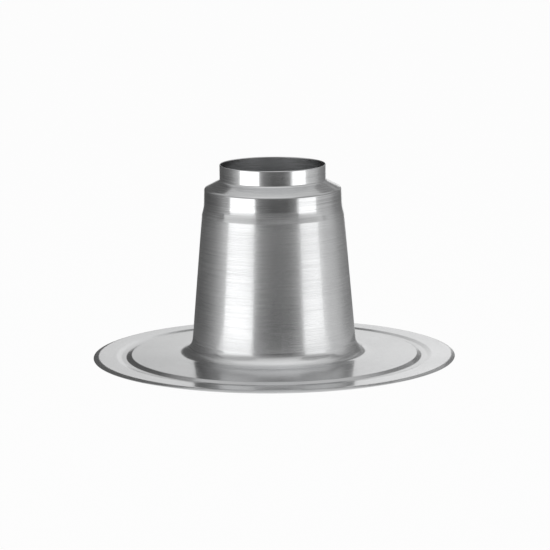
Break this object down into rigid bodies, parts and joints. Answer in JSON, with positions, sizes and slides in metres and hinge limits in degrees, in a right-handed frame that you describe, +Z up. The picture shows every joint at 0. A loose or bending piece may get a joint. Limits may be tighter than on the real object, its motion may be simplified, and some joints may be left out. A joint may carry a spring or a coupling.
{
  "type": "pipe flashing",
  "caption": "Spun aluminium roof flashing: a round flange with a ring groove, a tapering upright body and a shouldered neck that fits round a vent pipe.",
  "frame": {"origin": "centre of the flange at the level of the roof it lies on", "axes": "+Z up along the pipe's axis, away from the roof; the part is round about Z, so X and Y are free"},
  "size_m": [0.45, 0.45, 0.241],
  "materials": {
    "sheet": "satin, turned"
  },
  "bodies": {
    "root": {"flashing": "sheet"}
  },
  "joints": []
}
